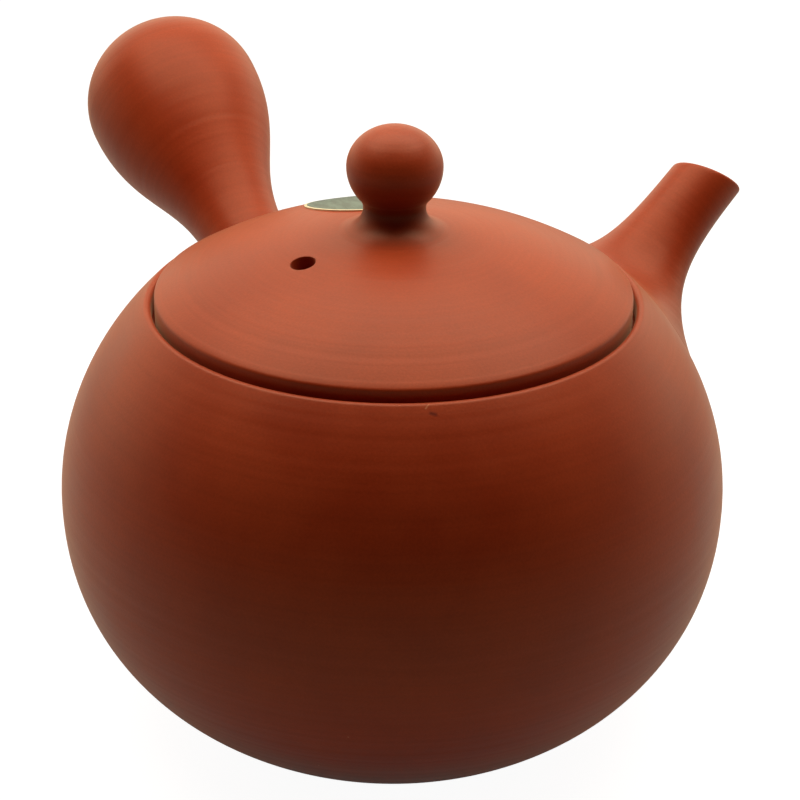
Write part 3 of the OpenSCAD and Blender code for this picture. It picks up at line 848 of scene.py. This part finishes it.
class TEAPOT_OT_label(Operator):
    """Lays the bare round paper label on the lid's dome"""
    bl_idname = "teapot.label"
    bl_label = "Label"

    def execute(self, context):
        settings = context.scene.teapot
        lid = settings.lid
        label = settings.label
        label_r = label.label_d / 2
        inner_r = label_r - label.edge_w
        radii = spread(0, inner_r, steps=14) + [label_r]
        profile = [Vector((r, 0)) for r in radii]
        profile += [Vector((r, label.thickness)) for r in radii[::-1]]
        piece = turned("paper_label", profile, SMALL_STEPS)
        middle = Matrix.Rotation(label.angle, 4, "Z") @ Matrix.Translation((label.place, 0, 0))
        finish = settings.finish
        sheet = middle @ Matrix.Translation((0, 0, dome_height(lid, label.place)))
        paper = label_paper("coated_label_paper", finish.label, finish.label_streak, sheet)
        border = label_paper("label_gilt_edge", finish.label_edge, finish.label_edge, sheet)
        for face in piece.data.polygons:
            face.material_index = int(Vector(face.center).xy.length > inner_r)
        for vertex in piece.data.vertices:
            spot = middle @ vertex.co
            vertex.co = spot + Vector((0, 0, dome_height(lid, spot.xy.length)))
        dress(piece, "lid", "paper_label", paper, border)
        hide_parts("lid_label")
        return {"FINISHED"}


class TEAPOT_OT_strainer(Operator):
    """Weaves the strainer's belt between its hems and dresses the steel pieces"""
    bl_idname = "teapot.strainer"
    bl_label = "Strainer"

    def execute(self, context):
        settings = context.scene.teapot
        strainer = settings.strainer
        hem_d = TOP_HEM_HIGH.z - TOP_HEM_LOW.z
        top = Vector((TOP_HEM_HIGH.x - hem_d / 2, TOP_HEM_HIGH.z - hem_d / 2))
        foot = Vector((FOOT_HEM_HIGH.x - hem_d / 2, FOOT_HEM_HIGH.z - hem_d / 2))
        up = (top - foot).normalized()
        inward = Vector((-up.y, up.x))
        rings = ceil((top - foot).length / strainer.pitch)
        step = tau / strainer.uprights
        crossings = [foot + (top - foot) * (i + 0.5) / rings for i in range(rings)]
        wire_r = strainer.wire_d / 2
        # The weave starts as an empty mesh
        bpy.ops.object.select_all(action="DESELECT")
        bpy.ops.mesh.primitive_circle_add(vertices=WIRE_SIDES, radius=wire_r)
        piece = context.object
        piece.name = piece.data.name = "strainer_weave"
        bpy.ops.object.mode_set(mode="EDIT")
        bpy.ops.mesh.select_all(action="SELECT")
        bpy.ops.mesh.delete(type="VERT")
        for side in (0, 1):
            # An upright wire, crimped round each ring in turn
            path = [foot]
            for i, crossing in enumerate(crossings):
                swing = strainer.crimp * (1 if (i + side) % 2 else -1)
                path += [crossing + swing * inward]
            path += [top]
            bpy.ops.mesh.primitive_circle_add(vertices=WIRE_SIDES, radius=wire_r, fill_type="NGON",
                                              location=(path[0].x, 0, path[0].y))
            extrude_along(path)
            bpy.ops.mesh.select_linked()
            bpy.ops.transform.rotate(value=-(side - 0.5) * step, orient_axis="Z",
                                     center_override=(0, 0, 0))
            bpy.ops.mesh.select_all(action="DESELECT")
        for i, crossing in enumerate(crossings):
            # Two crimps of a ring, which the spin below repeats all the way round
            swing = strainer.crimp * (1 if i % 2 else -1)
            bpy.ops.mesh.primitive_circle_add(vertices=WIRE_SIDES, radius=wire_r,
                                              location=(crossing.x, 0, crossing.y),
                                              rotation=(pi / 2, 0, 0))
            bpy.ops.transform.rotate(value=step, orient_axis="Z", center_override=(0, 0, 0))
            # The wire swings to one side and back, then to the other and back
            for n, side in enumerate((1, -1, -1, 1)):
                bpy.ops.mesh.spin(steps=1, angle=step / 2, center=(0, 0, 0), axis=(0, 0, 1),
                                  use_auto_merge=False)
                out = Matrix.Rotation(step * (n + 1) / 2 - step, 3, "Z") @ Vector((inward.x, 0, 0))
                move = side * swing * (out + Vector((0, 0, inward.y)))
                bpy.ops.transform.translate(value=move)
            bpy.ops.mesh.select_all(action="DESELECT")
        bpy.ops.mesh.select_all(action="SELECT")
        bpy.ops.mesh.spin(steps=strainer.uprights // 2, dupli=True, angle=tau, center=(0, 0, 0),
                          axis=(0, 0, 1))
        bpy.ops.mesh.select_all(action="SELECT")
        bpy.ops.mesh.remove_doubles(threshold=WIRE_WELD)
        bpy.ops.mesh.normals_make_consistent(inside=False)
        bpy.ops.object.mode_set(mode="OBJECT")
        steel = stainless_steel("stainless_steel", settings.finish)
        dress(piece, "pot", "strainer_steel", steel)
        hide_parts("strainer_mesh")
        for name in ("strainer_upper_hem", "strainer_lower_hem", "strainer_clasp",
                     "strainer_rivets"):
            slots = frame["nodes"][name].data.materials
            slots.clear()
            slots.append(steel)
        return {"FINISHED"}


class TEAPOT_OT_stage(Operator):
    """Sets the white floor, the soft lights and the camera"""
    bl_idname = "teapot.stage"
    bl_label = "Stage"

    def execute(self, context):
        scene = context.scene
        stage = scene.teapot.stage
        facing = Matrix.Rotation(stage.azimuth, 3, "Z")
        scene.view_settings.view_transform = "Standard"
        bpy.ops.object.select_all(action="DESELECT")
        bpy.ops.mesh.primitive_plane_add(size=stage.floor_size)
        floor = context.object
        floor.name = "floor"
        material, tree = new_material("white_paper_floor")
        path = add(tree, "LightPath")
        seen = add(tree, "Math", {0: path.outputs["Is Camera Ray"],
                                  1: path.outputs["Is Transmission Ray"]}, operation="MAXIMUM")
        mirrored = add(tree, "Math", {0: path.outputs["Is Glossy Ray"], 1: stage.floor_mirrored},
                       operation="MULTIPLY")
        glow = add(tree, "Math", {0: seen.outputs[0], 1: stage.floor_glow, 2: mirrored.outputs[0]},
                   operation="MULTIPLY_ADD")
        tone = add(tree, "Mix", {0: seen.outputs[0], FIRST: rgba(stage.floor),
                                 SECOND: rgba(stage.floor_seen)}, data_type="RGBA")
        paper = add(tree, "BsdfDiffuse", {"Color": tone.outputs[MIXED]})
        shine = add(tree, "Emission", {"Color": (1, 1, 1, 1), "Strength": glow.outputs[0]})
        both = add(tree, "AddShader", {0: paper.outputs[0], 1: shine.outputs[0]})
        add(tree, "OutputMaterial", {0: both.outputs[0]})
        floor.data.materials.append(material)

        world = bpy.data.worlds.new("white_studio")
        world.use_nodes = True
        tree = world.node_tree
        tree.nodes.clear()
        path = add(tree, "LightPath")
        seen = add(tree, "Math", {0: path.outputs["Is Camera Ray"],
                                  1: path.outputs["Is Transmission Ray"]}, operation="MAXIMUM")
        # The surroundings are white at the back and sides, brightest low down, and open and dark
        # overhead and towards the front
        way = add(tree, "TexCoord").outputs["Generated"]
        fullest = facing @ Vector((0, 1, -stage.white_dip))
        depth = add(tree, "VectorMath", {0: way, 1: fullest}, operation="DOT_PRODUCT")
        ramp = add(tree, "MapRange", {"Value": depth.outputs["Value"],
                                      "From Min": stage.white_start, "From Max": stage.white_full})
        level = add(tree, "MapRange", {"Value": path.outputs["Is Glossy Ray"],
                                       "To Min": stage.ambient, "To Max": stage.mirrored})
        glow = add(tree, "Math", {0: ramp.outputs[0], 1: level.outputs[0]}, operation="MULTIPLY")
        tent = add(tree, "Background", {"Color": rgba(stage.warm), "Strength": glow.outputs[0]})
        white = add(tree, "Background", {"Color": (1, 1, 1, 1), "Strength": 1})
        sky = add(tree, "MixShader", {0: seen.outputs[0], 1: tent.outputs[0], 2: white.outputs[0]})
        add(tree, "OutputWorld", {0: sky.outputs[0]})
        scene.world = world

        where = facing @ Vector((0, stage.lamp_back, stage.lamp_z))
        bpy.ops.object.light_add(type="AREA", location=where, rotation=(0, 0, stage.azimuth))
        lamp = context.object
        lamp.name = "top_soft_box"
        lamp.visible_camera = False
        lamp.data.shape = "RECTANGLE"
        lamp.data.size, lamp.data.size_y = stage.lamp_w, stage.lamp_d
        lamp.data.energy = stage.top_power
        lamp.data.color = stage.lamp

        aim = Vector((0, 0, stage.aim_z))
        back = facing @ Vector((0, -cos(stage.elevation), sin(stage.elevation)))
        look = (Euler((pi / 2 - stage.elevation, 0, stage.azimuth)).to_matrix()
                @ Matrix.Rotation(-stage.pan, 3, "Y") @ Matrix.Rotation(stage.nod, 3, "X")
                @ Matrix.Rotation(stage.roll, 3, "Z"))
        bpy.ops.object.camera_add(location=aim + stage.distance * back, rotation=look.to_euler())
        camera = context.object
        camera.name = "photo_camera"
        camera.data.sensor_width = SENSOR_W
        camera.data.lens = stage.lens
        camera.data.clip_start = NEAR_CLIP
        scene.camera = camera
        return {"FINISHED"}


class TEAPOT_PT_sidebar(Panel):
    """Lists the teapot's pieces and its stage"""
    bl_idname = "TEAPOT_PT_sidebar"
    bl_label = "Teapot"
    bl_space_type = "VIEW_3D"
    bl_region_type = "UI"
    bl_category = "Teapot"

    def draw(self, context):
        settings = context.scene.teapot
        for operator, groups in STEPS:
            box = self.layout.box()
            box.operator(operator.bl_idname)
            for group in groups:
                sizes = getattr(settings, group)
                for name in sizes.__annotations__:
                    box.prop(sizes, name)


STEPS = (
    (TEAPOT_OT_pot, ("pot", "finish")),
    (TEAPOT_OT_spout, ("spout",)),
    (TEAPOT_OT_handle, ("handle",)),
    (TEAPOT_OT_lid, ("lid",)),
    (TEAPOT_OT_knob, ("knob",)),
    (TEAPOT_OT_label, ("label",)),
    (TEAPOT_OT_strainer, ("strainer",)),
    (TEAPOT_OT_stage, ("stage",)),
)
CLASSES = (PotSizes, SpoutSizes, HandleSizes, LidSizes, KnobSizes, LabelSizes, StrainerSizes,
           Finishes, StageSettings, TeapotSettings, *(operator for operator, groups in STEPS),
           TEAPOT_PT_sidebar)


def register():
    for cls in CLASSES:
        bpy.utils.register_class(cls)
    bpy.types.Scene.teapot = PointerProperty(type=TeapotSettings)


def unregister():
    del bpy.types.Scene.teapot
    for cls in reversed(CLASSES):
        bpy.utils.unregister_class(cls)


def main():
    register()
    bpy.ops.teapot.pot()
    bpy.ops.teapot.spout()
    bpy.ops.teapot.handle()
    bpy.ops.teapot.lid()
    bpy.ops.teapot.knob()
    bpy.ops.teapot.label()
    bpy.ops.teapot.strainer()
    bpy.ops.teapot.stage()


if __name__ == "__main__":
    main()
